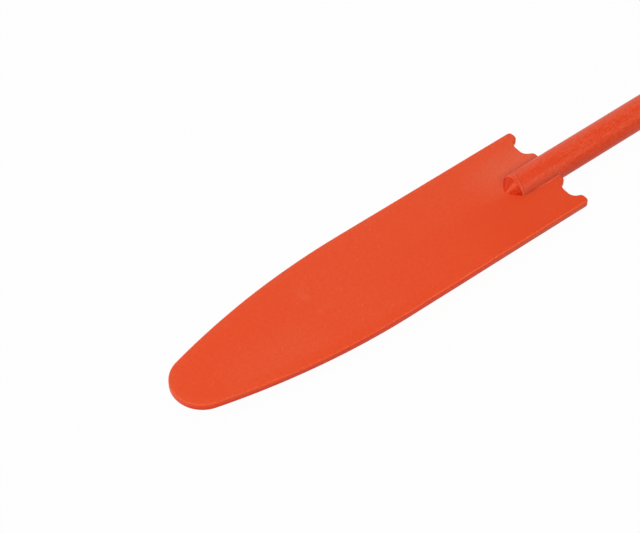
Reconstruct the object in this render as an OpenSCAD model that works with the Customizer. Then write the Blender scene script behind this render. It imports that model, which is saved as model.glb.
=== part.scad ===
// Insulating rescue paddle: a long flat tapered blade, held in the slotted nose of a foam-filled
// fibreglass pole. X runs along the pole from the blade's tip to the butt, Y across the blade and
// Z up out of the blade's face. The origin is on the pole's axis at the blade's rear edge.

/* [Blade] */
// Length of the blade, from its tip to its rear edge
blade_length = 473; // [420:1:560]
// Width of the blade where its sides are parallel
blade_width = 121; // [110:1:140]
// Thickness of the blade
blade_thickness = 8.6; // [6:0.2:11]
// Length of the parallel sides, counted from the rear edge
parallel_length = 232; // [150:1:270]
// Radius of the rounded tip
tip_radius = 33; // [20:1:40]
// Radius of the rounding along the blade's rim, top and bottom
rim_radius = 2; // [1:0.1:2.6]
// Radius of the two outer corners at the rear
corner_radius = 4.4; // [3.2:0.2:6]

/* [Shoulder notches] */
// Width of the lobe outside each notch
lobe_width = 10.9; // [9:0.1:14]
// Depth of each notch, forward from the rear edge
notch_depth = 9.9; // [7:0.1:14]
// Width of each notch at its floor
notch_floor = 17.5; // [15:0.1:20]
// Flare of the notch's outer wall, from floor to mouth
outer_flare = 3.6; // [2:0.1:5]
// Flare of the notch's inner wall, from floor to mouth
inner_flare = 5.4; // [3:0.1:6]
// Radius of the lobes' corners at the notch's mouth
mouth_radius = 5.4; // [3:0.1:6]
// Radius of the corners at the notch's floor
floor_radius = 8.9; // [6:0.1:9.2]

/* [Pole] */
// Outer diameter of the pole
pole_diameter = 32; // [28:0.5:36]
// Wall of the pole's tube
tube_wall = 3; // [2:0.5:5]
// Length of the pole behind the blade, with its butt
pole_reach = 747; // [400:1:1500]
// Length of the tube that straddles the blade
tube_overlap = 49; // [35:1:70]
// Length of the bevel round the tube's front rim
rim_bevel = 1.5; // [0.8:0.1:3]
// Width of the groove left round the joint of tube and nose
seam_width = 0.8; // [0.4:0.1:1.4]
// Depth of the groove left round the joint of tube and nose
seam_depth = 0.6; // [0.2:0.1:1]

/* [Nose and butt] */
// Angle between the nose cone's side and the pole's axis
nose_angle = 45; // [35:1:60]
// Length of the nose plug inside the tube, behind the blade
plug_depth = 30; // [20:1:60]
// Length of the butt's head behind the tube
butt_head = 22; // [18:1:40]
// Length of the full round collar at the front of the butt's head
butt_collar = 2; // [1:0.5:4]
// Length of the butt plug inside the tube
butt_depth = 40; // [20:1:80]
// Radius of the rounding round the butt's end
butt_rounding = 5; // [2:0.5:8]
// Diameter of the hanging eye through the butt
eye_diameter = 8; // [6:0.5:10]
// Thickness of the butt's head between its two flats
eye_thickness = 20; // [14:0.5:26]

/* [Hidden] */
$fn = 96;

half_width = blade_width / 2;
pole_r = pole_diameter / 2;
bore_r = pole_r - tube_wall;
tube_end = pole_reach - butt_head;

// The side arc is tangent to the parallel side and to the tip circle
taper_length = blade_length - tip_radius - parallel_length;
side_radius = (taper_length ^ 2 + half_width ^ 2 - tip_radius ^ 2) / (2 * (half_width - tip_radius));
taper_angle = atan2(taper_length, side_radius - half_width);

// The bevel halves the turn between the pole's side and the nose cone
rim_slope = tan(nose_angle / 2);
nose_r = pole_r - rim_bevel * rim_slope;
nose_length = nose_r / tan(nose_angle);

// The groove's flanks rise from the joint to the cone in front and to the tube's bevel behind
seam_half = seam_width / 2;
seam_r = nose_r - seam_depth;

rim_steps = 4;      // facets in each quarter turn of the rim's rounding
arc_step = 9;       // degrees between points on the small arcs of the outline
side_step = 1.5;    // degrees between points on the long side arcs
past = 1;           // how far a cutting shape runs past what it cuts

// One half of the outline: corners as [x, y, radius, degrees between points], from the tip to the
// pole. The first corner lies on the axis, where the two tangents of the tip circle meet.
half_corners = [
  [-blade_length + tip_radius - tip_radius / sin(taper_angle), 0, tip_radius, arc_step],
  [-parallel_length - side_radius * tan(taper_angle / 2), half_width, side_radius, side_step],
  [0, half_width, corner_radius, arc_step],
  [0, half_width - lobe_width, mouth_radius, arc_step],
  [-notch_depth, half_width - lobe_width - outer_flare, floor_radius, arc_step],
  [-notch_depth, half_width - lobe_width - outer_flare - notch_floor, floor_radius, arc_step],
  [0, half_width - lobe_width - outer_flare - notch_floor - inner_flare, mouth_radius, arc_step],
];

// The other half, mirrored and in reverse, so the loop runs once round the blade
corners = concat(
  half_corners,
  [for (i = [len(half_corners) - 1:-1:1])
    let (c = half_corners[i]) [c.x, -c.y, c[2], c[3]]]
);

function unit(v) = v / norm(v);
function cross_z(a, b) = a.x * b.y - a.y * b.x;

function corner(i) = corners[(i + len(corners)) % len(corners)];
function place(i) = [corner(i).x, corner(i).y];
function edge(i) = place(i + 1) - place(i);
function turn_angle(i) = acos(unit(edge(i - 1)) * unit(edge(i)));
function tangent_length(i) = corner(i)[2] * tan(turn_angle(i) / 2);

// How much of its radius a corner can keep, so that two arcs on one edge never run into each other
function room(i) =
  min(
    1,
    norm(edge(i - 1)) / (tangent_length(i - 1) + tangent_length(i)),
    norm(edge(i)) / (tangent_length(i) + tangent_length(i + 1))
  );

// The points of one corner's arc. The loop runs clockwise, so a right turn is a convex corner,
// whose radius shrinks with the inset; at a left turn it grows.
function corner_points(i, inset) =
  let (
    along = unit(edge(i - 1)),
    turn = sign(cross_z(along, edge(i))),
    start = place(i) - along * tangent_length(i) * room(i),
    radius = corner(i)[2] * room(i),
    centre = start + turn * radius * [-along.y, along.x],
    from = atan2(start.y - centre.y, start.x - centre.x),
    steps = 2 * ceil(turn_angle(i) / corner(i)[3] / 2)
  )
  [for (k = [0:steps])
    let (t = from + turn * turn_angle(i) * k / steps)
    centre + (radius + turn * inset) * [cos(t), sin(t)]];

function outline(inset) = [for (i = [0:len(corners) - 1], p = corner_points(i, inset)) p];

// Rings of the outline, from the lower face's edge round the rim to the upper face's edge
quarter = [for (i = [0:rim_steps]) 90 * i / rim_steps];
ring_sizes = concat(
  [for (t = quarter) [rim_radius * (1 - sin(t)), -blade_thickness / 2 + rim_radius * (1 - cos(t))]],
  [for (t = quarter) [rim_radius * (1 - cos(t)), blade_thickness / 2 - rim_radius * (1 - sin(t))]]
);

module blade() {
  rings = [for (s = ring_sizes) [for (p = outline(s[0])) [p.x, p.y, s[1]]]];
  n = len(rings[0]);
  last = len(rings) - 1;
  color("orangered")
  polyhedron(
    points = [for (ring = rings, p = ring) p],
    faces = concat(
      [[for (i = [n - 1:-1:0]) i]],
      [[for (i = [0:n - 1]) last * n + i]],
      [for (k = [0:last - 1], i = [0:n - 1])
        let (j = (i + 1) % n)
        [k * n + i, k * n + j, (k + 1) * n + j, (k + 1) * n + i]]
    )
  );
}

// The slot that the blade is pushed into, from in front of the nose to the blade's rear edge
module blade_slot() {
  slot_front = tube_overlap + nose_length + past;
  translate([-slot_front, -pole_r - past, -blade_thickness / 2])
    cube([slot_front, pole_diameter + 2 * past, blade_thickness]);
}

// Turns a profile drawn along the pole, as [distance along X, radius], about the pole's axis
module along_pole(profile)
  rotate([90, 0, 90])
    rotate_extrude()
      polygon([for (p = profile) [p[1], p[0]]]);

module pole_tube() {
  color("tomato")
  difference() {
    along_pole([
      [-tube_overlap, bore_r], [-tube_overlap, seam_r],
      [-tube_overlap + seam_half, nose_r + seam_half * rim_slope],
      [-tube_overlap + rim_bevel, pole_r], [tube_end, pole_r], [tube_end, bore_r]
    ]);
    blade_slot();
  }
}

// The cone that closes the tube's front, and the spigot behind it that fills the tube as far as
// the foam. The slot leaves them as a fork round the blade.
module nose_plug() {
  color("orangered")
  difference() {
    along_pole([
      [-tube_overlap - nose_length, 0],
      [-tube_overlap - seam_half, nose_r - seam_half * tan(nose_angle)],
      [-tube_overlap, seam_r], [-tube_overlap, bore_r], [plug_depth, bore_r], [plug_depth, 0]
    ]);
    blade_slot();
  }
}

module foam_core() {
  color("wheat")
  translate([plug_depth, 0, 0])
    rotate([0, 90, 0])
      cylinder(r = bore_r, h = tube_end - butt_depth - plug_depth);
}

// The plug that closes the tube's rear, with a rounded head flush with the tube, two flats and a
// hanging eye between them
module butt_plug() {
  flat_height = pole_r + past - eye_thickness / 2;
  color("orangered")
  difference() {
    rotate([90, 0, 90])
      rotate_extrude()
        difference() {
          union() {
            translate([0, tube_end - butt_depth]) square([bore_r, butt_depth + past]);
            translate([0, tube_end]) square([pole_r, butt_head]);
          }
          translate([pole_r - butt_rounding, pole_reach - butt_rounding])
            difference() {
              square(butt_rounding + past);
              circle(r = butt_rounding);
            }
        }
    for (side = [-1, 1])
      translate([tube_end + butt_collar, -pole_r - past, side * (eye_thickness + flat_height) / 2 - flat_height / 2])
        cube([butt_head, pole_diameter + 2 * past, flat_height]);
    translate([tube_end + butt_head / 2, 0, -pole_r])
      cylinder(r = eye_diameter / 2, h = pole_diameter);
  }
}

blade();
pole_tube();
nose_plug();
foam_core();
butt_plug();
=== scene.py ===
"""Insulating rescue paddle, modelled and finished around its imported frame.

A flat orange blade is held in the slotted nose of a round fibreglass pole. X runs along the pole from
the blade's tip to the butt, Y across the blade and Z up out of the blade's face. The origin is on the
pole's axis at the blade's rear edge, and every length is in metres.
"""

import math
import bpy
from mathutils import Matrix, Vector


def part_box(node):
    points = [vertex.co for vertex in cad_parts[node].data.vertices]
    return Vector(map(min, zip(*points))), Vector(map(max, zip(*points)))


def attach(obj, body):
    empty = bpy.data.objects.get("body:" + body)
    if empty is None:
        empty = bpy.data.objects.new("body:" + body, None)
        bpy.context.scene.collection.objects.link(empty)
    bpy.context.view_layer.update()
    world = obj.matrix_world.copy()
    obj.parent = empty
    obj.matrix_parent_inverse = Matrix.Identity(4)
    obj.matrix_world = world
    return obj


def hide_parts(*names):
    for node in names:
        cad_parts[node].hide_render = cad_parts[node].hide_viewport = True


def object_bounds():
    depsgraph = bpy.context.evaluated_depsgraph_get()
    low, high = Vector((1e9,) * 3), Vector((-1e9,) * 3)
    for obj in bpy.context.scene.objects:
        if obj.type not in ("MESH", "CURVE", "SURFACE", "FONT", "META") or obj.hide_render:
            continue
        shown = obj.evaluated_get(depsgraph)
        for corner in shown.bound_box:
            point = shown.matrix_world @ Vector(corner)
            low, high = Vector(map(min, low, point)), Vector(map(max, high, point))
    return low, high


bl_info = {
    "name": "Insulating rescue paddle",
    "version": (1, 0, 0),
    "blender": (4, 5, 0),
    "location": "3D View > Sidebar > Paddle",
    "description": "Models an orange insulating rescue paddle and its studio around a packed frame",
    "category": "Add Mesh",
}

import bmesh
import bpy
from bpy.props import FloatProperty, FloatVectorProperty, PointerProperty
from mathutils import Vector

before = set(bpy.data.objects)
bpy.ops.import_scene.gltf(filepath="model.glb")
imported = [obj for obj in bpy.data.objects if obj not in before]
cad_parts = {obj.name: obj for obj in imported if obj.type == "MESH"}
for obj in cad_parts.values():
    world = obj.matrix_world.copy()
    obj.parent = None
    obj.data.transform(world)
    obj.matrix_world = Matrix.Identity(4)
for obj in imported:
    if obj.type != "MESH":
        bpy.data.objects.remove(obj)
CAD_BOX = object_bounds()

BLADE_LOW, BLADE_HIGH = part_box("blade")
TUBE_LOW, TUBE_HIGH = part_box("pole_tube")
NOSE_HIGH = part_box("nose_plug")[1]
CORE_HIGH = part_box("foam_core")[1]
BUTT_LOW, BUTT_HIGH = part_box("butt_plug")

ARC_STEP = math.radians(5)  # turn between points on the small arcs of an outline
SIDE_STEP = math.radians(0.8)  # turn between points on the blade's long side arcs
TURN_STEPS = 96  # facets round a turned piece
RIM_STEPS = 6  # facets in the rounding along the blade's rim
END_STEPS = 8  # facets in the rounding of the butt's end
EYE_STEPS = 48  # facets round the hanging eye
EDGE_STEPS = 3  # facets in a softened edge of the butt
SHARP = math.radians(35)  # the butt's edges that turn further than this are softened
BEAD_STEPS = 24  # straight lengths in a resin bead
BEAD_ROUND = 3  # how finely a resin bead is rounded
BOW_SKEW = 1.5  # above 1, a resin bead bows out furthest nearer its rear end
WALL_SLOPE = 0.1  # the upward part of a normal is less than this on a wall
LEVEL_SLOPE = 0.9  # and more than this on a level face
PAST = 0.001  # how far a cutter runs past what it cuts
WELD = 1e-6  # points closer than this are one
ALONG = Vector((1, 0, 0))
ACROSS = Vector((0, 1, 0))
UP = Vector((0, 0, 1))


def length(name, description, default):
    """A length in metres that the sidebar shows with its unit."""
    return FloatProperty(
        name=name, description=description, default=default, min=0, unit="LENGTH", precision=4
    )


def amount(name, description, default):
    """A plain number from nothing upwards."""
    return FloatProperty(name=name, description=description, default=default, min=0)


def angle(name, description, degrees):
    """An angle that the sidebar shows in degrees."""
    return FloatProperty(
        name=name, description=description, default=math.radians(degrees), unit="ROTATION"
    )


def colour(name, description, default):
    """A linear colour that the sidebar shows as a swatch."""
    return FloatVectorProperty(
        name=name, description=description, default=default, size=3, min=0, max=1, subtype="COLOR"
    )


class BladeSettings(bpy.types.PropertyGroup):
    """Sizes of the blade"""

    reach: length("Length", "From the tip to the rear edge", BLADE_HIGH.x - BLADE_LOW.x)
    width: length("Width", "Width where the sides are parallel", BLADE_HIGH.y - BLADE_LOW.y)
    thickness: length("Thickness", "Thickness of the blade", BLADE_HIGH.z - BLADE_LOW.z)
    parallel: length("Parallel sides", "Length of the parallel sides, from the rear edge", 0.232)
    tip_radius: length("Tip radius", "Radius of the rounded tip", 0.033)
    rim_radius: length("Rim radius", "Rounding along the rim, top and bottom", 0.002)
    corner_radius: length("Corner radius", "Radius of the two outer corners", 0.0044)
    lobe: length("Lobe width", "Width of the lobe outside each notch", 0.0109)
    notch_depth: length("Notch depth", "Depth of each notch from the rear edge", 0.0099)
    notch_floor: length("Notch floor", "Width of each notch at its floor", 0.0175)
    outer_flare: length("Outer flare", "Flare of the notch's outer wall", 0.0036)
    inner_flare: length("Inner flare", "Flare of the notch's inner wall", 0.0054)
    mouth_radius: length("Mouth radius", "Rounding at the notch's mouth", 0.0054)
    floor_radius: length("Floor radius", "Rounding at the notch's floor", 0.0089)
    ripple: length("Ripple", "Height of the moulded faces' slow ripple", 0.0003)
    ripple_span: length("Ripple span", "Distance between two ripples", 0.07)
    grid: length("Grid", "Distance between the cuts that let the faces ripple", 0.0125)


class PoleSettings(bpy.types.PropertyGroup):
    """Sizes of the pole's tube and of its joint with the nose"""

    radius: length("Radius", "Outer radius of the tube", TUBE_HIGH.y)
    bore: length("Bore radius", "Inner radius of the tube", CORE_HIGH.y)
    overlap: length("Overlap", "Length of tube that straddles the blade", -TUBE_LOW.x)
    reach: length("Reach", "Length of tube behind the blade", TUBE_HIGH.x)
    rim_bevel: length("Rim bevel", "Length of the bevel round the tube's front rim", 0.0015)
    seam_width: length("Seam width", "Width of the groove at the nose's joint", 0.0008)
    seam_depth: length("Seam depth", "Depth of the groove at the nose's joint", 0.0006)
    cloth_edge: length("Cloth edge", "From the front rim back to the last edge of the cloth", 0.0014)


class NoseSettings(bpy.types.PropertyGroup):
    """Shape of the nose plug and of the resin round the pole's root"""

    angle: FloatProperty(
        name="Cone angle",
        description="Angle between the cone's side and the pole's axis",
        default=math.radians(45),
        min=math.radians(35),
        max=math.radians(60),
        unit="ROTATION",
    )
    depth: length("Spigot", "Length of the plug behind the blade", NOSE_HIGH.x)
    bead: length("Resin bead", "Radius of the resin bead along the root", 0.00045)
    bead_gap: length("Bead gap", "Distance from the pole's wall to the bead's middle", 0.0003)
    bead_bow: length("Bead bow", "How far the bead bows away from the pole's wall", 0.0017)


class ButtSettings(bpy.types.PropertyGroup):
    """Sizes of the butt plug"""

    head: length("Head", "Length of the head behind the tube", BUTT_HIGH.x - TUBE_HIGH.x)
    depth: length("Spigot", "Length of the plug inside the tube", TUBE_HIGH.x - BUTT_LOW.x)
    collar: length("Collar", "Length of the full round collar", 0.002)
    rounding: length("Rounding", "Radius of the rounding round the end", 0.005)
    eye: length("Eye", "Radius of the hanging eye", 0.004)
    flats: length("Flats", "Thickness of the head between its flats", 0.020)
    edge: length("Edges", "Softening of the flats' and the eye's edges", 0.0006)


class FinishSettings(bpy.types.PropertyGroup):
    """Colours of the finishes"""

    blade: colour("Blade", "Body colour of the moulded blade", (0.785, 0.0640, 0.0172))
    pole: colour("Pole", "Body colour of the wound tube", (0.780, 0.0640, 0.0155))
    nose: colour("Plugs", "Body colour of the nose and butt", (0.68, 0.031, 0.0020))
    # The dust colour also tints some painted light: a soft patch near the blade's tip, the streak at the
    # cloth's edge and the resin's strip by the pole
    dust: colour("Dust", "Colour of dust and scuffs on the orange", (0.64, 0.21, 0.13))
    # This colour is dirt and painted shade together, in the corners where the pole meets the blade
    grime_and_shade: colour("Grime", "Colour of the dirt that gathers in the corners", (0.42, 0.11, 0.065))
    core: colour("Core", "Colour of the foam inside the pole", (0.80, 0.70, 0.44))


class StageSettings(bpy.types.PropertyGroup):
    """The studio: floor, lamps, sky and camera"""

    azimuth: angle("Azimuth", "Turn of the camera about Z", -38.617)
    elevation: angle("Elevation", "Camera's height angle", 49.313)
    distance: length("Distance", "From the camera to the point that it aims at", 2.5509)
    aim: FloatVectorProperty(
        name="Aim",
        description="Point that the camera aims at",
        default=(-0.26455, 0.04219, 0),
        unit="LENGTH",
    )
    lens: FloatProperty(name="Lens", description="Focal length in millimetres", default=145.84, min=10)
    floor: length("Floor", "Side of the square floor", 12)
    sky: amount("Sky", "Strength of the sky overhead", 0.43)
    horizon: amount("Horizon", "Strength of the sky at the horizon", 1.0)
    lean: FloatProperty(
        name="Lean",
        description="How much brighter the sky is on the far side, as a share",
        default=0.45,
        min=0,
        max=1,
    )
    key: amount("Key lamp", "Power of the large lamp overhead, in watts", 35)
    side: amount("Side lamp", "Power of the lamp at the near side, in watts", 11)
    front: amount("Front lamp", "Power of the lamp before the tip, in watts", 21)
    rim: amount("Rim lamp", "Power of the small lamp by the camera, in watts", 7)


SETTINGS = {
    "blade": BladeSettings,
    "pole": PoleSettings,
    "nose": NoseSettings,
    "butt": ButtSettings,
    "finish": FinishSettings,
    "stage": StageSettings,
}


def settings(name):
    """The scene's settings of one group."""
    return getattr(bpy.context.scene, "paddle_" + name)


# Modelling by hand: a pen that draws points, and the few tools that the pieces share


def start_outline(name, place):
    """Starts a mesh with one selected point, in edit mode. Its object sits at the origin."""
    bpy.ops.object.select_all(action="DESELECT")
    bpy.ops.mesh.primitive_plane_add(size=1, location=(0, 0, 0))
    piece = bpy.context.object
    piece.name = piece.data.name = name
    bpy.ops.object.mode_set(mode="EDIT")
    bpy.ops.mesh.merge(type="CENTER")
    bpy.ops.transform.translate(value=place)
    return piece


def pen_place():
    """Where the selected point of the mesh in edit mode lies."""
    drawn = bmesh.from_edit_mesh(bpy.context.edit_object.data)
    return next(point.co.copy() for point in drawn.verts if point.select)


def draw_line(to):
    """Extrudes the selected point to a place."""
    bpy.ops.mesh.extrude_region_move(TRANSFORM_OT_translate={"value": Vector(to) - pen_place()})


def draw_arc(centre, turn, step):
    """Spins the selected point about an upright line through centre, to the left by a positive turn."""
    steps = max(1, math.ceil(abs(turn) / step))
    bpy.ops.mesh.spin(steps=steps, angle=-turn, center=centre, axis=UP)


def draw_corner(before, corner, after, radius):
    """Draws up to a corner and round it, on the way from one point to another at one height."""
    into = (corner - before).normalized()
    out = (after - corner).normalized()
    turn = math.atan2(into.cross(out).z, into.dot(out))
    start = corner - into * radius * math.tan(abs(turn) / 2)
    side = UP.cross(into) * math.copysign(radius, turn)
    draw_line(start)
    draw_arc(start + side, turn, ARC_STEP)


def select_edges(wanted):
    """Selects the edges of the mesh in edit mode for which wanted(edge) holds, and nothing else."""
    bpy.ops.mesh.select_all(action="DESELECT")
    bpy.ops.mesh.select_mode(type="EDGE")
    drawn = bmesh.from_edit_mesh(bpy.context.edit_object.data)
    drawn.normal_update()
    for edge in drawn.edges:
        edge.select_set(wanted(edge))
    drawn.select_flush_mode()
    bmesh.update_edit_mesh(bpy.context.edit_object.data)


def close_shell():
    """Welds the mesh in edit mode and turns its faces outwards."""
    bpy.ops.mesh.select_mode(type="VERT")
    bpy.ops.mesh.select_all(action="SELECT")
    bpy.ops.mesh.remove_doubles(threshold=WELD)
    bpy.ops.mesh.normals_make_consistent(inside=False)


def turned_piece(name, profile):
    """Models a piece as on a lathe, from points [distance along the pole, radius]."""
    first, *rest = [Vector((x, 0, radius)) for x, radius in profile]
    piece = start_outline(name, first)
    for point in rest:
        draw_line(point)
    bpy.ops.mesh.select_all(action="SELECT")
    bpy.ops.mesh.spin(steps=TURN_STEPS, angle=math.tau, center=(0, 0, 0), axis=ALONG)
    close_shell()
    bpy.ops.object.mode_set(mode="OBJECT")
    return piece


def box_cutter(low, high):
    """A box between two corners, for a cut."""
    bpy.ops.object.select_all(action="DESELECT")
    low, high = Vector(low), Vector(high)
    bpy.ops.mesh.primitive_cube_add(size=1, location=(low + high) / 2, scale=high - low)
    return bpy.context.object


def cut_away(piece, cutter):
    """Cuts a cutter's shape out of a piece and removes the cutter."""
    activate(piece)
    cut = piece.modifiers.new("cut", "BOOLEAN")
    cut.operation = "DIFFERENCE"
    cut.solver = "EXACT"
    cut.object = cutter
    bpy.ops.object.modifier_apply(modifier=cut.name)
    bpy.data.objects.remove(cutter)


def activate(piece):
    """Selects one piece, and makes it the one that tools work on."""
    bpy.ops.object.select_all(action="DESELECT")
    piece.select_set(True)
    bpy.context.view_layer.objects.active = piece


def smooth(piece, angle=30):
    """Shades a piece smooth, with edges sharper than the angle in degrees kept crisp."""
    activate(piece)
    bpy.ops.object.shade_smooth_by_angle(angle=math.radians(angle))


def level_normals(piece):
    """Keeps the large faces of a piece flat where they run into rounded edges."""
    activate(piece)
    weighted = piece.modifiers.new("weighted", "WEIGHTED_NORMAL")
    weighted.keep_sharp = True
    weighted.weight = 100
    bpy.ops.object.modifier_apply(modifier=weighted.name)


def deliver(piece, material, slot, *nodes):
    """Gives a piece its material, and its place in the frame."""
    piece.data.materials.clear()
    piece.data.materials.append(material)
    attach(piece, "root")
    if nodes:
        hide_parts(*nodes)


# Finishes

WHITE = (1, 1, 1, 1)
GLOSS = 0.375  # specular level of all but the wound tube
LAMINATE_GLOSS = 0.27  # specular level of the wound tube
SHEEN = (1, 0.88, 0.58, 1)  # tint of the reflections on all but the blade
BLADE_SHEEN = (1, 0.74, 0.30, 1)  # tint of the reflections on the blade
MOST = (0.3, 0.7)  # limits that nearly all of a cloudy noise lies between
WINDING = 7.0  # how far the tube's fibres turn in a metre, in radians

# The edge of the last turn of cloth: the turn about the pole where it leaves the rim, the turn by which
# it winds back, and how far back it gets there, evenly and ever faster
CLOTH_START = math.radians(155)
CLOTH_TURN = math.radians(95)
CLOTH_EVEN = 0.0012
CLOTH_STEEP = 0.0049

# Marks on the blade: the middle of each, how far it reaches from there, and half its soft border's width
# A pale patch near the tip's near side: a painted soft reflection, laid on like dust
PAINTED_SHEEN_PATCH = ((-0.372, -0.024), (0.052, 0.022), 0.018)
SMEARS = (
    ((-0.302, 0.024), (0.005, 0.011), 0.008),
    ((-0.297, -0.006), (0.009, 0.002), 0.006),
)
CHIP = ((-0.161, -0.0588), (0.0032, 0.0010), 0.001)

# Nicks in the blade: the turn about Z and the length of each kind, and the width of all
NICKS = ((0.5, 0.0052), (-0.9, 0.0040), (1.9, 0.0031))
NICK_WIDTH = 0.0009


class Nodes:
    """The nodes of a material or of the sky, added and wired in few words."""

    def __init__(self, owner):
        owner.use_nodes = True
        self.tree = owner.node_tree
        self.tree.nodes.clear()

    def add(self, kind, inputs=None, **choices):
        """Adds a node with its choices made, and its inputs linked or set."""
        made = self.tree.nodes.new(kind)
        for name, value in choices.items():
            setattr(made, name, value)
        for name, value in (inputs or {}).items():
            if isinstance(value, bpy.types.NodeSocket):
                self.tree.links.new(value, made.inputs[name])
            else:
                made.inputs[name].default_value = value
        return made

    def calculate(self, operation, first, second=0.0):
        """Arithmetic on two values."""
        return self.add("ShaderNodeMath", {0: first, 1: second}, operation=operation).outputs[0]

    def chain(self, operation, values):
        """Arithmetic on several values, from the first to the last."""
        result = values[0]
        for value in values[1:]:
            result = self.calculate(operation, result, value)
        return result

    def total(self, *values):
        """The sum of several values."""
        return self.chain("ADD", values)

    def product(self, *values):
        """The product of several values."""
        return self.chain("MULTIPLY", values)

    def most(self, *values):
        """The largest of several values."""
        return self.chain("MAXIMUM", values)

    def less(self, value, taken):
        """A value with another one taken away from it."""
        return self.calculate("SUBTRACT", value, taken)

    def away(self, value, middle=0.0):
        """How far a value lies from a middle, on either side."""
        return self.calculate("ABSOLUTE", self.less(value, middle))

    def ramp(self, value, low, high, start=0.0, end=1.0):
        """A smooth step of a value between two limits, from start to end.

        The limits of x, y and z are metres in the frame. The ends are mostly shares from 0 to 1.
        """
        inputs = {"Value": value, "From Min": low, "From Max": high, "To Min": start, "To Max": end}
        return self.add("ShaderNodeMapRange", inputs, interpolation_type="SMOOTHSTEP").outputs[0]

    def ramps(self, *parts):
        """The product of several ramps, each given as a value with its limits and its ends."""
        return self.product(*[self.ramp(*part) for part in parts])


class Finish(Nodes):
    """A procedural material, whose patterns lie in the piece's own coordinates."""

    def __init__(self, name):
        self.material = bpy.data.materials.new(name)
        super().__init__(self.material)
        self.place = self.add("ShaderNodeTexCoord").outputs["Object"]
        self.x, self.y, self.z = self.add("ShaderNodeSeparateXYZ", {0: self.place}).outputs

    def noise(self, place, scale, detail=2.0, roughness=0.5):
        """Cloudy noise from 0 to 1, with so many cells in a metre."""
        inputs = {"Vector": place, "Scale": scale, "Detail": detail, "Roughness": roughness}
        return self.add("ShaderNodeTexNoise", inputs).outputs[0]

    def stretched_noise(self, place, scales, detail=2.0, roughness=0.5):
        """Cloudy noise with its own number of cells in a metre along each axis."""
        inputs = {"Vector": place, "Scale": scales}
        stretched = self.add("ShaderNodeMapping", inputs, vector_type="POINT").outputs[0]
        return self.noise(stretched, 1, detail, roughness)

    def blend(self, share, under, over):
        """One colour over another, by a share."""
        inputs = {0: share, 6: under, 7: over}
        return self.add("ShaderNodeMix", inputs, data_type="RGBA").outputs[2]

    def coated(self, surface, *coats):
        """A colour under several coats, the lowest first. Each coat is a share and a colour."""
        for share, over in coats:
            surface = self.blend(share, surface, over)
        return surface

    def bump(self, height, depth, strength, under=None):
        """A relief of so many metres, over another one."""
        inputs = {"Height": height, "Distance": depth, "Strength": strength}
        if under is not None:
            inputs["Normal"] = under
        return self.add("ShaderNodeBump", inputs).outputs[0]

    def patch(self, middle, reach, soft):
        """1 within a rectangle that lies in X and Y, fading over a soft border."""
        sides = []
        for value, centre, half in zip((self.x, self.y), middle, reach):
            sides.append((self.away(value, centre), half - soft, half + soft, 1, 0))
        return self.ramps(*sides)

    def spots(self, place, scale, near, chosen):
        """Round spots in some cells of a flat pattern.

        Near are the limits of the distance from a cell's middle, and chosen those of its random number.
        """
        inputs = {"Vector": place, "Scale": scale}
        cells = self.add("ShaderNodeTexVoronoi", inputs, voronoi_dimensions="2D").outputs
        draw = self.add("ShaderNodeSeparateColor", {0: cells["Color"]}).outputs[0]
        return self.ramps((cells["Distance"], *near, 1, 0), (draw, *chosen))

    def specks(self, spacing, size):
        """Small round flecks on the faces that look up or down, on about a third of the cells."""
        near = (0.4 * size / spacing, 0.7 * size / spacing)
        return self.spots(self.place, 1 / spacing, near, (0.66, 0.68))

    def nicks(self, turn, reach):
        """Short straight nicks that all lie at one turn about Z, on very few of the cells."""
        cell = (2.5 * reach, 2.5 * NICK_WIDTH, 1)
        inputs = {"Vector": self.place, "Rotation": (0, 0, turn), "Scale": cell}
        turned = self.add("ShaderNodeMapping", inputs, vector_type="TEXTURE").outputs[0]
        return self.spots(turned, 1, (0.12, 0.24), (0.992, 0.998))

    def plastic(self, surface, roughness, relief, gloss=GLOSS, sheen=SHEEN):
        """Ends the material in a plastic surface, with gloss as its specular level and a sheen's tint."""
        inputs = {
            "Base Color": surface,
            "Roughness": roughness,
            "Normal": relief,
            "Specular IOR Level": gloss,
            "Specular Tint": sheen,
        }
        shader = self.add("ShaderNodeBsdfPrincipled", inputs)
        self.add("ShaderNodeOutputMaterial", {"Surface": shader.outputs[0]})
        return self.material


def shade(tone, red=1, green=1, blue=1):
    """A colour with each part multiplied."""
    return (tone[0] * red, tone[1] * green, tone[2] * blue, 1)


def side_arc(size):
    """Radius of the arc along the blade's tapered side, and the turn that it makes."""
    half = size.width / 2
    taper = size.reach - size.tip_radius - size.parallel
    radius = (taper**2 + half**2 - size.tip_radius**2) / (2 * (half - size.tip_radius))
    return radius, math.atan2(taper, radius - half)


def wall_foot():
    """How far from the pole's axis its wall meets the blade's faces."""
    return math.sqrt(settings("pole").radius ** 2 - (settings("blade").thickness / 2) ** 2)


def from_side(finish):
    """Distance from the blade's side or tip, measured across the blade or out from the tip's middle."""
    size = settings("blade")
    radius, lean = side_arc(size)
    behind_tip = finish.total(finish.x, size.reach - size.tip_radius)
    beyond = finish.most(finish.less(-size.parallel, finish.x), 0)
    chord = finish.less(radius**2, finish.calculate("POWER", beyond, 2))
    side = finish.total(finish.calculate("SQRT", chord), size.width / 2 - radius)
    side = finish.less(side, finish.away(finish.y))
    squares = finish.total(finish.calculate("POWER", behind_tip, 2), finish.product(finish.y, finish.y))
    tip = finish.less(size.tip_radius, finish.calculate("SQRT", squares))
    ahead = finish.calculate("LESS_THAN", behind_tip, -size.tip_radius * math.sin(lean))
    return finish.total(side, finish.product(ahead, finish.less(tip, side)))


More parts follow.
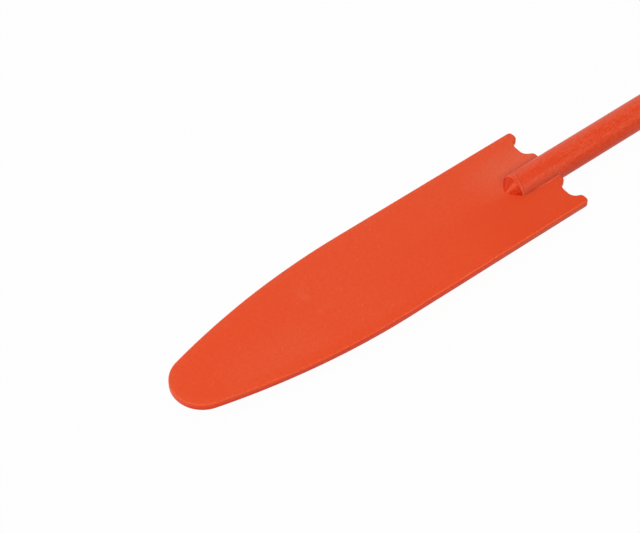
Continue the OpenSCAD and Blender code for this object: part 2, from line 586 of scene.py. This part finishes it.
def blade_dust(finish, clouds, inside):
    """How dusty the blade is: a thin veil, worn off the near side and thick by the pole's far side, and a
    pale patch near the tip that is a painted soft reflection.
    """
    half = settings("blade").width / 2
    radius = settings("pole").radius
    x, y = finish.x, finish.y
    veil = finish.ramps((clouds, 0.25, 0.75, 0.020, 0.045), (x, -0.44, -0.26, 0.3, 1))
    rim = finish.ramp(inside, 0.002, 0.012, 0.022, 0)
    brushed = finish.ramps((inside, 0.004, 0.018, -0.05, 0), (y, -0.030, -0.015, 1, 0), (x, -0.43, -0.40))
    far_rim = finish.ramps((inside, 0.001, 0.013, 0.035, 0), (y, -0.02, 0.01))
    # Painted soft reflection: a pale patch near the tip, mixed in with the dust
    painted_sheen_patch = finish.product(finish.patch(*PAINTED_SHEEN_PATCH), 0.045)
    worn = finish.ramps((x, -0.28, -0.07, 0, -0.040), (y, -0.02, 0.03, 1, 0))
    heap = finish.ramps(
        (x, -0.105, -0.036, 0, 0.19),
        (y, half - 0.004, 1.7 * radius),
        (y, 0.9 * radius, 1.4 * radius, 0.75, 1),
        (y, -0.5 * radius, 0.2 * radius),
    )
    root = finish.ramp(x, -0.055, -0.04, 0, 0.025)
    dust = finish.total(veil, rim, brushed, far_rim, painted_sheen_patch, worn, heap, root)
    fine = finish.noise(finish.place, 520, 5, 0.75)
    return finish.most(finish.product(dust, finish.ramp(fine, 0.38, 0.62, 0.4, 1.6)), 0)


def corner_dirt_and_shade(finish):
    """How much dirt and painted shade darken the blade in the corner along the pole."""
    front = -settings("pole").overlap
    off_wall = finish.less(finish.away(finish.y), wall_foot())
    return finish.ramps(
        (off_wall, 0.0005, 0.0080, 0.54, 0),
        (finish.y, -0.01, 0.01, 0.22, 1),
        (finish.x, front - 0.012, front + 0.010),
    )


def root_resin_and_light(finish):
    """How much resin has spread on the blade along the pole's near wall. Its pale tone is painted light in
    the shaded gap between the wall and the bead.
    """
    off_wall = finish.less(finish.product(finish.y, -1), wall_foot())
    return finish.ramps(
        (off_wall, 0.0010, 0.0022, 1, 0),
        (off_wall, -0.0010, -0.0005),
        (finish.x, -0.040, -0.026, 0, 0.45),
    )


def rim_shares(finish, mottle, inside):
    """Shares of three coats on the blade's rim: the walls' deeper tone as painted shade, a painted
    highlight on the walls' top, and a pale edge line that is painted highlight and partly edge wear.
    """
    size = settings("blade")
    level = size.thickness / 2
    radius = size.rim_radius
    # Towards the tip, the tones of the wall's upper part reach further down
    raised = finish.total(finish.z, finish.ramp(finish.x, -0.46, -0.29, 0.0026, 0))
    height = finish.most(finish.away(finish.z), raised)
    # Painted shade: a deeper tone on the walls
    wall = finish.ramp(height, level - radius, level - 0.2 * radius, 0.9, 0)
    upright = finish.ramp(finish.away(finish.z), level - 1.1 * radius, level - 0.6 * radius, 1, 0)
    # Painted highlight on the top of the walls, under the rounding
    top = finish.product(upright, finish.ramp(height, level - radius, level - 0.4 * radius))
    beyond = finish.less(inside, finish.ramp(finish.x, -0.29, -0.21, 0.0012, 0.0018))
    # Pale line along the rounded edge: painted highlight, partly edge wear
    edge_wear_and_highlight = finish.product(
        finish.less(1.0, upright),
        finish.ramps(
            (height, level - 0.7 * radius, level - 0.4 * radius),
            (beyond, -0.0006, 0.0005, 1, 0),
            (finish.x, -0.455, -0.41, 0.62, 0.82),
            (mottle, *MOST, 0.8, 1.0),
        ),
    )
    return wall, top, edge_wear_and_highlight


def blade_marks(finish):
    """How strongly the blade's pale marks show: smears, scuffs, flecks of dust, a chip and nicks."""
    smeared = finish.stretched_noise(finish.place, (130, 170, 130), 5, 0.75)
    smeared = finish.ramp(smeared, 0.44, 0.66)
    smears = finish.total(*[finish.patch(*smear) for smear in SMEARS])
    scuffs = finish.stretched_noise(finish.place, (40, 900, 40), 3, 0.6)
    marks = [
        finish.product(smeared, smears, 0.18),
        finish.ramp(scuffs, 0.68, 0.76, 0, 0.08),
        finish.product(finish.specks(spacing=0.024, size=0.0015), 0.20),
        finish.product(
            finish.specks(spacing=0.0034, size=0.0009), finish.ramp(finish.x, -0.10, -0.04, 0, 0.15)
        ),
        finish.product(smeared, finish.patch(*CHIP), 0.36),
    ]
    for turn, reach in NICKS:
        marks.append(finish.product(finish.nicks(turn, reach), 0.19))
    return finish.most(*marks)


def blade_moulding():
    """Satin orange moulding with a fine mottle, dust, pale marks and resin, and with painted light and
    shade: a highlight along the rim, partly edge wear, deeper walls with a bright top, a soft reflection,
    and shade with dirt along the pole.
    """
    tones = settings("finish")
    finish = Finish("satin_orange_moulding")
    clouds = finish.noise(finish.place, 9)
    mottle = finish.noise(finish.place, 260, 5, 0.62)
    inside = from_side(finish)
    wall, painted_wall_highlight, edge_wear_and_highlight = rim_shares(finish, mottle, inside)
    near_root = finish.ramps((finish.x, -0.16, -0.07), (finish.y, -0.016, 0.010, 1, 0))
    dust = blade_dust(finish, clouds, inside)
    surface = finish.coated(
        shade(tones.blade, 0.985, 0.94, 0.8),
        (finish.ramp(mottle, *MOST), shade(tones.blade, 1.015, 1.06, 1.2)),
        # Painted shade on the walls, then painted highlight on their top and along the rim's edge
        (wall, shade(tones.blade, 1.07, 0.42, 0.04)),
        (near_root, shade(tones.blade, 0.970, 0.90, 0.78)),
        (painted_wall_highlight, shade(tones.blade, 1.24, 0.70, 0.05)),
        (edge_wear_and_highlight, shade(tones.blade, 1.17, 1.55, 2.0)),
        # Dust, and the painted soft reflection near the tip
        (dust, shade(tones.dust)),
        # Dirt and painted shade in the corner along the pole
        (corner_dirt_and_shade(finish), shade(tones.grime_and_shade, 1.05, 0.72, 0.85)),
        # Resin by the pole's near wall, paled as painted light in the shaded gap
        (root_resin_and_light(finish), shade(tones.dust, 0.95, 0.75, 0.75)),
        (blade_marks(finish), shade(tones.dust, 1.25, 1.25, 1.2)),
    )
    roughness = finish.total(finish.ramp(mottle, *MOST, 0.33, 0.42), dust)
    relief = finish.bump(finish.noise(finish.place, 1500), 0.00002, 0.5)
    relief = finish.bump(mottle, 0.00006, 0.35, relief)
    return finish.plastic(surface, roughness, relief, sheen=BLADE_SHEEN)


def behind_cloth_edge(finish):
    """How far behind the edge of the last turn of cloth, which winds back from the rim in two lines."""
    pole = settings("pole")
    turn = finish.total(finish.calculate("ARCTAN2", finish.z, finish.y), math.pi)
    turn = finish.calculate("MODULO", turn, math.pi)
    share = finish.calculate("DIVIDE", finish.less(CLOTH_START, turn), CLOTH_TURN)
    share = finish.most(share, 0)
    lead = finish.total(
        finish.product(share, CLOTH_EVEN),
        finish.product(finish.calculate("POWER", share, 3), CLOTH_STEEP),
    )
    return finish.less(finish.total(finish.x, pole.overlap - pole.cloth_edge), lead)


def pole_laminate():
    """Satin orange laminate: fine grain along the tube, deep and pale patches, painted highlights and
    shade, the cloth's last edge.
    """
    tones = settings("finish")
    thickness = settings("blade").thickness
    finish = Finish("wound_orange_laminate")
    x, y, z = finish.x, finish.y, finish.z
    inputs = {"Vector": finish.place, "Angle": finish.product(x, WINDING)}
    wound = finish.add("ShaderNodeVectorRotate", inputs, rotation_type="X_AXIS").outputs[0]
    streaks = finish.stretched_noise(wound, (26, 210, 210), 4, 0.65)
    grain = finish.stretched_noise(wound, (270, 520, 520), 4, 0.7)
    fibres = finish.stretched_noise(wound, (160, 1300, 1300), 3, 0.6)
    paleness = finish.total(
        finish.ramp(streaks, 0.34, 0.66, 0, 0.24),
        finish.ramp(fibres, *MOST, 0, 0.16),
        finish.ramp(grain, 0.40, 0.60, 0, 0.58),
    )
    # Painted on the near side: a deeper band, a highlight streak and a shaded flank. Painted shade on the
    # lower half, dust on the far side, painted light on the far side over the blade, and dirt with painted
    # shade where the tube straddles the blade
    # Painted shade: a deeper band along the tube's upper near side, strongest where it straddles the blade
    painted_deep_band = finish.ramps((y, -0.0100, -0.0075), (y, -0.0030, 0.0010, 1, 0), (x, 0.005, 0.02, 0.42, 0.08))
    # Painted highlight: a pale streak along the near side, brightest where the tube straddles the blade
    painted_highlight_streak = finish.ramps(
        (y, -0.0109, -0.0083, 1, 0),
        (y, -0.0150, -0.0112, 0.25, 1),
        (x, -0.012, 0.014, 0.55, 0.32),
        (z, 0, 0.003),
        (grain, 0.38, 0.62, 0.6, 1.2),
    )
    # Painted shade on the near flank, behind the blade
    flank = finish.ramps((y, -0.0135, -0.0118, 0.42, 0), (x, 0.006, 0.024), (streaks, 0.35, 0.6, 0.5, 1))
    # Painted shade on the tube's lower half, behind the blade
    painted_lower_shade = finish.ramps((z, -0.0050, 0.0005, 0.42, 0), (x, 0, 0.003))
    settled = finish.ramps(
        (y, -0.0025, 0.0045),
        (x, 0, 0.04, 0.06, 0.15),
        (z, -0.004, 0.004),
        (streaks, *MOST, 0.8, 1.2),
    )
    # Painted light: a paler far side where the tube straddles the blade
    painted_far_light = finish.ramps((y, 0.0075, 0.0112, 0, 0.9), (x, -0.004, 0.001, 1, 0))
    # Dirt and painted shade on the tube next to the blade's faces
    corner = finish.ramps((finish.away(z), 0.5 * thickness, 1.9 * thickness, 0.30, 0), (x, 0, 0.002, 1, 0))
    behind = behind_cloth_edge(finish)
    # Painted highlight along the cloth's last edge, and painted shade in the groove just behind it
    cloth_edge = finish.ramp(finish.away(behind), 0.0003, 0.0008, 0.16, 0)
    groove = finish.ramp(finish.away(behind, 0.0013), 0.0003, 0.0009, 0.35, 0)
    deep = shade(tones.pole, 0.98, 0.62, 0.10)
    surface = finish.coated(
        deep,
        (paleness, shade(tones.pole, 1.02, 1.42, 2.5)),
        (painted_deep_band, deep),
        (painted_highlight_streak, shade(tones.pole, 1.20, 1.62, 2.6)),
        (flank, deep),
        (painted_lower_shade, shade(tones.pole, 0.88, 0.5, 0.6)),
        (settled, shade(tones.dust)),
        (painted_far_light, shade(tones.pole, 1.16, 1.42, 2.3)),
        (corner, shade(tones.grime_and_shade, 1.3, 1.3, 1.3)),
        (cloth_edge, shade(tones.dust, 1.25, 1.25, 1.2)),
        (groove, shade(tones.pole, 0.72, 0.35, 0.2)),
    )
    roughness = finish.ramp(streaks, *MOST, 0.41, 0.51)
    relief = finish.bump(fibres, 0.00003, 0.5)
    relief = finish.bump(streaks, 0.00008, 0.4, relief)
    relief = finish.bump(finish.ramp(behind, -0.0003, 0.0004), 0.0002, 0.8, relief)
    return finish.plastic(surface, roughness, relief, gloss=LAMINATE_GLOSS)


def plug_moulding(name, rough, turning):
    """Smooth orange plug plastic, with a painted highlight from its top towards the near side and painted
    shade on its near side. Turning is how strongly the lathe's fine rings show.
    """
    tones = settings("finish")
    finish = Finish(name)
    mottle = finish.noise(finish.place, 260, 4, 0.6)
    turn = finish.calculate("ARCTAN2", finish.z, finish.y)
    # Painted highlight: a paler sector from the top towards the near side
    worn = finish.ramps(
        (turn, math.radians(84), math.radians(100)),
        (turn, math.radians(112), math.radians(134), 0.40, 0),
    )
    # Painted shade on the near side
    flank = finish.ramp(finish.y, -0.0125, -0.0075, 0.75, 0)
    surface = finish.coated(
        shade(tones.nose, 0.98, 0.90, 0.85),
        (finish.ramp(mottle, *MOST), shade(tones.nose, 1.02, 1.12, 1.35)),
        (worn, shade(tones.nose, 1.15, 1.7, 2.8)),
        (flank, shade(tones.nose, 0.93, 0.5, 0.1)),
    )
    roughness = finish.ramp(mottle, *MOST, rough - 0.04, rough + 0.05)
    rings = finish.stretched_noise(finish.place, (2600, 60, 60))
    relief = finish.bump(rings, 0.00001, turning)
    relief = finish.bump(mottle, 0.00002, 0.2, relief)
    return finish.plastic(surface, roughness, relief)


def cured_resin():
    """Smooth cured resin with some dust on it, paler than the pieces that it bonds, which paints its
    highlight, and darker towards the front as painted shade.
    """
    tones = settings("finish")
    finish = Finish("cured_orange_resin")
    mottle = finish.noise(finish.place, 260, 4, 0.6)
    surface = finish.coated(
        # The paler tone is the bead's painted highlight
        shade(tones.pole, 1.10, 1.2, 1.6),
        (finish.ramp(mottle, *MOST, 0.16, 0.34), shade(tones.dust, 1.15, 1.1, 1.1)),
        # Painted shade towards the front
        (finish.ramp(finish.x, -0.038, -0.020, 0.75, 0), shade(tones.pole, 0.80, 0.62, 0.5)),
    )
    roughness = finish.ramp(mottle, *MOST, 0.26, 0.36)
    return finish.plastic(surface, roughness, finish.bump(mottle, 0.00002, 0.2))


def core_foam():
    """Closed-cell foam: pale, with fine round cells pressed into it."""
    tones = settings("finish")
    finish = Finish("closed_cell_foam")
    cells = finish.add("ShaderNodeTexVoronoi", {"Vector": finish.place, "Scale": 900}).outputs["Distance"]
    clouds = finish.noise(finish.place, 120, 3)
    surface = finish.coated(
        shade(tones.core, 0.86, 0.84, 0.80),
        (finish.ramp(cells, 0.1, 0.6), shade(tones.core, 1.04, 1.04, 1.04)),
        (finish.ramp(clouds, 0.35, 0.75, 0, 0.25), shade(tones.core, 0.9, 0.8, 0.6)),
    )
    roughness = finish.ramp(clouds, *MOST, 0.82, 0.92)
    return finish.plastic(surface, roughness, finish.bump(cells, 0.0003, 0.6))


# Pieces


def draw_half_blade(size):
    """Draws half of the blade's outline from the tip, along the side and the notch, to the axis."""
    half = size.width / 2
    height = -size.thickness / 2
    side_radius, lean = side_arc(size)
    draw_arc((size.tip_radius - size.reach, 0, height), lean - math.pi / 2, ARC_STEP)
    draw_arc((-size.parallel, half - side_radius, height), -lean, SIDE_STEP)

    lobe = half - size.lobe
    outer = lobe - size.outer_flare
    inner = outer - size.notch_floor
    root = inner - size.inner_flare
    way = [
        (-size.parallel, half, 0),
        (0, half, size.corner_radius),
        (0, lobe, size.mouth_radius),
        (-size.notch_depth, outer, size.floor_radius),
        (-size.notch_depth, inner, size.floor_radius),
        (0, root, size.mouth_radius),
        (0, 0, 0),
    ]
    places = [Vector((x, y, height)) for x, y, _ in way]
    for i in range(1, len(way) - 1):
        draw_corner(places[i - 1], places[i], places[i + 1], way[i][2])
    draw_line(places[-1])


def mirror_across(piece):
    """Completes a piece whose half is drawn on one side of the pole's axis."""
    activate(piece)
    mirror = piece.modifiers.new("mirror", "MIRROR")
    mirror.use_axis = (False, True, False)
    mirror.merge_threshold = WELD
    bpy.ops.object.modifier_apply(modifier=mirror.name)


def is_rim(edge):
    """Does an edge part a level face from a wall?"""
    slopes = sorted(abs(face.normal.z) for face in edge.link_faces)
    return len(slopes) == 2 and slopes[0] < WALL_SLOPE and slopes[1] > LEVEL_SLOPE


def cut_grid(low, high, spacing, direction):
    """Cuts the mesh in edit mode across a direction at even steps between two distances."""
    cuts = max(1, round((high - low) / spacing))
    for i in range(1, cuts):
        bpy.ops.mesh.select_all(action="SELECT")
        at = low + (high - low) * i / cuts
        bpy.ops.mesh.bisect(plane_co=direction * at, plane_no=direction)


def ripple(piece, size):
    """Gives the moulded faces the slow unevenness that their reflections show."""
    activate(piece)
    clouds = bpy.data.textures.new("slow_ripple", "CLOUDS")
    clouds.noise_scale = size.ripple_span
    clouds.noise_depth = 1
    rise = piece.modifiers.new("ripple", "DISPLACE")
    rise.texture = clouds
    rise.direction = "Z"
    rise.strength = size.ripple
    bpy.ops.object.modifier_apply(modifier=rise.name)
    bpy.data.textures.remove(clouds)


class PADDLE_OT_blade(bpy.types.Operator):
    """Model the flat blade with its rounded rim and notched shoulders"""

    bl_idname = "paddle.blade"
    bl_label = "Blade"

    def execute(self, context):
        size = settings("blade")
        piece = start_outline("blade_shell", (-size.reach, 0, -size.thickness / 2))
        draw_half_blade(size)
        bpy.ops.object.mode_set(mode="OBJECT")
        mirror_across(piece)
        bpy.ops.object.mode_set(mode="EDIT")
        bpy.ops.mesh.select_all(action="SELECT")
        bpy.ops.mesh.edge_face_add()
        bpy.ops.mesh.extrude_region_move(TRANSFORM_OT_translate={"value": UP * size.thickness})
        close_shell()
        select_edges(is_rim)
        bpy.ops.mesh.bevel(
            offset=size.rim_radius, segments=RIM_STEPS, profile=0.5, clamp_overlap=False
        )
        cut_grid(-size.reach, 0, size.grid, ALONG)
        cut_grid(-size.width / 2, size.width / 2, size.grid, ACROSS)
        close_shell()
        bpy.ops.object.mode_set(mode="OBJECT")
        ripple(piece, size)
        smooth(piece)
        level_normals(piece)
        deliver(piece, blade_moulding(), "blade_moulding", "blade")
        return {"FINISHED"}


def joint_radii():
    """Radii at the joint of tube and nose: the cone's foot, and the bottom of the groove."""
    pole = settings("pole")
    foot = pole.radius - pole.rim_bevel * math.tan(settings("nose").angle / 2)
    return foot, foot - pole.seam_depth


def cut_slot(piece, front):
    """Cuts the slot that straddles the blade, from in front of a piece to the blade's rear edge."""
    half = settings("blade").thickness / 2
    reach = settings("pole").radius + PAST
    cut_away(piece, box_cutter((front - PAST, -reach, -half), (0, reach, half)))


class PADDLE_OT_pole(bpy.types.Operator):
    """Model the slotted tube of the pole, with its bevelled front rim"""

    bl_idname = "paddle.pole"
    bl_label = "Pole"

    def execute(self, context):
        size = settings("pole")
        foot, groove = joint_radii()
        half_seam = size.seam_width / 2
        flank = foot + half_seam * math.tan(settings("nose").angle / 2)
        piece = turned_piece(
            "pole_shell",
            [
                (-size.overlap, size.bore),
                (-size.overlap, groove),
                (half_seam - size.overlap, flank),
                (size.rim_bevel - size.overlap, size.radius),
                (size.reach, size.radius),
                (size.reach, size.bore),
                (-size.overlap, size.bore),
            ],
        )
        cut_slot(piece, -size.overlap)
        smooth(piece, angle=20)
        deliver(piece, pole_laminate(), "pole_laminate", "pole_tube")
        return {"FINISHED"}


class PADDLE_OT_nose(bpy.types.Operator):
    """Model the nose plug: the forked cone, its groove and its spigot"""

    bl_idname = "paddle.nose"
    bl_label = "Nose"

    def execute(self, context):
        size = settings("nose")
        pole = settings("pole")
        foot, groove = joint_radii()
        half_seam = pole.seam_width / 2
        slope = math.tan(size.angle)
        apex = -pole.overlap - foot / slope
        piece = turned_piece(
            "nose_shell",
            [
                (apex, 0),
                (-pole.overlap - half_seam, foot - half_seam * slope),
                (-pole.overlap, groove),
                (-pole.overlap, pole.bore),
                (size.depth, pole.bore),
                (size.depth, 0),
            ],
        )
        cut_slot(piece, apex)
        smooth(piece, angle=20)
        material = plug_moulding("turned_orange_plastic", rough=0.26, turning=0.3)
        deliver(piece, material, "nose_moulding", "nose_plug")
        return {"FINISHED"}


def wall_path(size):
    """Points on the blade's upper face along the pole's near wall, bowing out from it at the rear."""
    pole = settings("pole")
    height = settings("blade").thickness / 2
    wall = wall_foot() + size.bead_gap
    points = []
    for i in range(BEAD_STEPS + 1):
        share = 1 - i / BEAD_STEPS
        bow = size.bead_bow * math.sin(math.pi * share**BOW_SKEW)
        points.append(Vector((-(pole.overlap - pole.rim_bevel) * (1 - share), -wall - bow, height)))
    return points


class PADDLE_OT_root_bead(bpy.types.Operator):
    """Lay the thin beads of resin that show along the pole's root, one on each face of the blade"""

    bl_idname = "paddle.root_bead"
    bl_label = "Root beads"

    def execute(self, context):
        size = settings("nose")
        first, *rest = wall_path(size)
        piece = start_outline("root_bead", first)
        for point in rest:
            draw_line(point)
        bpy.ops.mesh.select_all(action="SELECT")
        bpy.ops.mesh.duplicate()
        bpy.ops.transform.rotate(value=math.pi, orient_axis="X", center_override=(0, 0, 0))
        bpy.ops.object.mode_set(mode="OBJECT")
        bpy.ops.object.convert(target="CURVE")
        piece.data.dimensions = "3D"
        piece.data.bevel_depth = size.bead
        piece.data.bevel_resolution = BEAD_ROUND
        piece.data.use_fill_caps = True
        bpy.ops.object.convert(target="MESH")
        smooth(piece, angle=60)
        deliver(piece, cured_resin(), "nose_moulding")
        return {"FINISHED"}


class PADDLE_OT_core(bpy.types.Operator):
    """Finish the foam core, which the frame already has in its true shape"""

    bl_idname = "paddle.core"
    bl_label = "Foam core"

    def execute(self, context):
        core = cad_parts["foam_core"]
        core.data.materials.clear()
        core.data.materials.append(core_foam())
        return {"FINISHED"}


def butt_profile(size, pole):
    """The butt plug's profile, with its end rounded in an arc."""
    end = pole.reach + size.head
    arc = []
    for i in range(END_STEPS + 1):
        turn = math.pi / 2 * i / END_STEPS
        along = end - size.rounding * (1 - math.sin(turn))
        arc.append((along, pole.radius - size.rounding * (1 - math.cos(turn))))
    front = [
        (pole.reach - size.depth, 0),
        (pole.reach - size.depth, pole.bore),
        (pole.reach, pole.bore),
        (pole.reach, pole.radius),
    ]
    return front + arc + [(end, 0)]


class PADDLE_OT_butt(bpy.types.Operator):
    """Model the butt plug: rounded head, two flats and the hanging eye"""

    bl_idname = "paddle.butt"
    bl_label = "Butt"

    def execute(self, context):
        size = settings("butt")
        pole = settings("pole")
        piece = turned_piece("butt_shell", butt_profile(size, pole))
        reach = pole.radius + PAST
        front = pole.reach + size.collar
        end = pole.reach + size.head + PAST
        for side in (-1, 1):
            heights = sorted((side * size.flats / 2, side * reach))
            cut_away(piece, box_cutter((front, -reach, heights[0]), (end, reach, heights[1])))
        bpy.ops.object.select_all(action="DESELECT")
        bpy.ops.mesh.primitive_cylinder_add(
            vertices=EYE_STEPS,
            radius=size.eye,
            depth=2 * reach,
            location=(pole.reach + size.head / 2, 0, 0),
        )
        cut_away(piece, bpy.context.object)
        soften = piece.modifiers.new("soften", "BEVEL")
        soften.width = size.edge
        soften.segments = EDGE_STEPS
        soften.limit_method = "ANGLE"
        soften.angle_limit = SHARP
        bpy.ops.object.modifier_apply(modifier=soften.name)
        smooth(piece)
        level_normals(piece)
        material = plug_moulding("moulded_orange_butt", rough=0.36, turning=0)
        deliver(piece, material, "butt_moulding", "butt_plug")
        return {"FINISHED"}


# Studio

# The lamps: the setting with its power, the side of its square, and its place from the camera's aim
LAMPS = (
    ("key", 1.8, (-0.35, -0.1, 3.05)),
    ("side", 1.0, (1.22, -1.77, 2.07)),
    ("front", 1.6, (-2.75, 0.28, 1.43)),
    ("rim", 0.8, (-1.16, -1.45, 2.23)),
)
PAPER = ((0.61, 0.61, 0.61, 1), (0.64, 0.64, 0.64, 1))  # the two greys of the floor's paper
FLOOR_WHITE = 0.97  # share of plain white in the floor as it is seen; the rest is paper, with its shadow
HORIZON = (0.05, 0.18)  # where the sky's strength changes, from 0 at the horizon to 1 overhead
SENSOR = 36  # width of the camera's sensor in millimetres


def lamp(name, power, width, place, aim):
    """Hangs a square lamp at a place, turned to what it lights."""
    bpy.ops.object.select_all(action="DESELECT")
    bpy.ops.object.light_add(type="AREA", location=place)
    made = bpy.context.object
    made.name = name
    made.data.energy = power
    made.data.shape = "SQUARE"
    made.data.size = width
    made.rotation_euler = (Vector(aim) - Vector(place)).to_track_quat("-Z", "Y").to_euler()


def seen_directly(finish):
    """1 on rays from the camera, a reflection or a transmission, and 0 on those that only light."""
    path = finish.add("ShaderNodeLightPath").outputs
    return finish.most(path["Is Camera Ray"], path["Is Glossy Ray"], path["Is Transmission Ray"])


def white_floor():
    """A floor that looks plain white, and still shows a faint shadow."""
    finish = Finish("white_floor")
    paper = finish.blend(finish.noise(finish.place, 3), *PAPER)
    matt = finish.add("ShaderNodeBsdfDiffuse", {"Color": paper}).outputs[0]
    white = finish.add("ShaderNodeEmission", {"Color": WHITE, "Strength": 1.0}).outputs[0]
    share = finish.product(seen_directly(finish), FLOOR_WHITE)
    mixed = finish.add("ShaderNodeMixShader", {0: share, 1: matt, 2: white})
    finish.add("ShaderNodeOutputMaterial", {"Surface": mixed.outputs[0]})
    return finish.material


def studio_sky(overhead, horizon, lean):
    """A plain white sky: bright at the horizon, softer overhead, and dimmer on the near side."""
    world = bpy.data.worlds.new("studio_sky")
    bpy.context.scene.world = world
    sky = Nodes(world)
    place = sky.add("ShaderNodeTexCoord").outputs["Generated"]
    _, y, z = sky.add("ShaderNodeSeparateXYZ", {0: place}).outputs
    inputs = {
        "Value": y,
        "From Min": -1,
        "From Max": 1,
        "To Min": overhead * (1 - lean),
        "To Max": overhead * (1 + lean),
    }
    across = sky.add("ShaderNodeMapRange", inputs).outputs[0]
    strength = sky.ramp(z, *HORIZON, horizon, across)
    light = sky.add("ShaderNodeBackground", {"Color": WHITE, "Strength": strength}).outputs[0]
    sky.add("ShaderNodeOutputWorld", {"Surface": light})


class PADDLE_OT_stage(bpy.types.Operator):
    """Set the floor, the sky, the lamps and the camera"""

    bl_idname = "paddle.stage"
    bl_label = "Studio"

    def execute(self, context):
        size = settings("stage")
        aim = Vector(size.aim)
        bpy.ops.object.select_all(action="DESELECT")
        bpy.ops.mesh.primitive_plane_add(size=size.floor, location=(0, 0, CAD_BOX[0].z))
        floor = context.object
        floor.name = "floor"
        floor.data.materials.append(white_floor())
        studio_sky(size.sky, size.horizon, size.lean)
        for name, width, place in LAMPS:
            lamp(name + "_lamp", getattr(size, name), width, aim + Vector(place), aim)

        # The way from the point that the camera aims at back to the camera
        flat = math.cos(size.elevation)
        back = Vector(
            (math.sin(size.azimuth) * flat, -math.cos(size.azimuth) * flat, math.sin(size.elevation))
        )
        bpy.ops.object.camera_add(location=aim + back * size.distance)
        camera = context.object
        camera.name = "camera"
        camera.rotation_euler = (-back).to_track_quat("-Z", "Y").to_euler()
        camera.data.sensor_fit = "HORIZONTAL"
        camera.data.sensor_width = SENSOR
        camera.data.lens = size.lens
        context.scene.camera = camera
        context.scene.view_settings.view_transform = "Standard"
        return {"FINISHED"}


OPERATORS = (
    PADDLE_OT_stage,
    PADDLE_OT_blade,
    PADDLE_OT_pole,
    PADDLE_OT_nose,
    PADDLE_OT_root_bead,
    PADDLE_OT_core,
    PADDLE_OT_butt,
)


class PADDLE_PT_sidebar(bpy.types.Panel):
    """The paddle's tab in the sidebar"""

    bl_idname = "PADDLE_PT_sidebar"
    bl_label = "Insulating rescue paddle"
    bl_space_type = "VIEW_3D"
    bl_region_type = "UI"
    bl_category = "Paddle"

    def draw(self, context):
        for tool in OPERATORS:
            self.layout.operator(tool.bl_idname)
        for name in SETTINGS:
            group = settings(name)
            column = self.layout.column(heading=name.capitalize())
            for key in group.__annotations__:
                column.prop(group, key)


CLASSES = (*SETTINGS.values(), *OPERATORS, PADDLE_PT_sidebar)


def register():
    """Registers the classes and hangs the settings on the scene."""
    for cls in CLASSES:
        bpy.utils.register_class(cls)
    for name, cls in SETTINGS.items():
        setattr(bpy.types.Scene, "paddle_" + name, PointerProperty(type=cls))


def unregister():
    """Takes the settings and the classes away again."""
    for name in SETTINGS:
        delattr(bpy.types.Scene, "paddle_" + name)
    for cls in reversed(CLASSES):
        bpy.utils.unregister_class(cls)


def main():
    """Makes the studio and every piece."""
    register()
    bpy.ops.paddle.stage()
    bpy.ops.paddle.blade()
    bpy.ops.paddle.pole()
    bpy.ops.paddle.nose()
    bpy.ops.paddle.root_bead()
    bpy.ops.paddle.core()
    bpy.ops.paddle.butt()


if __name__ == "__main__":
    main()
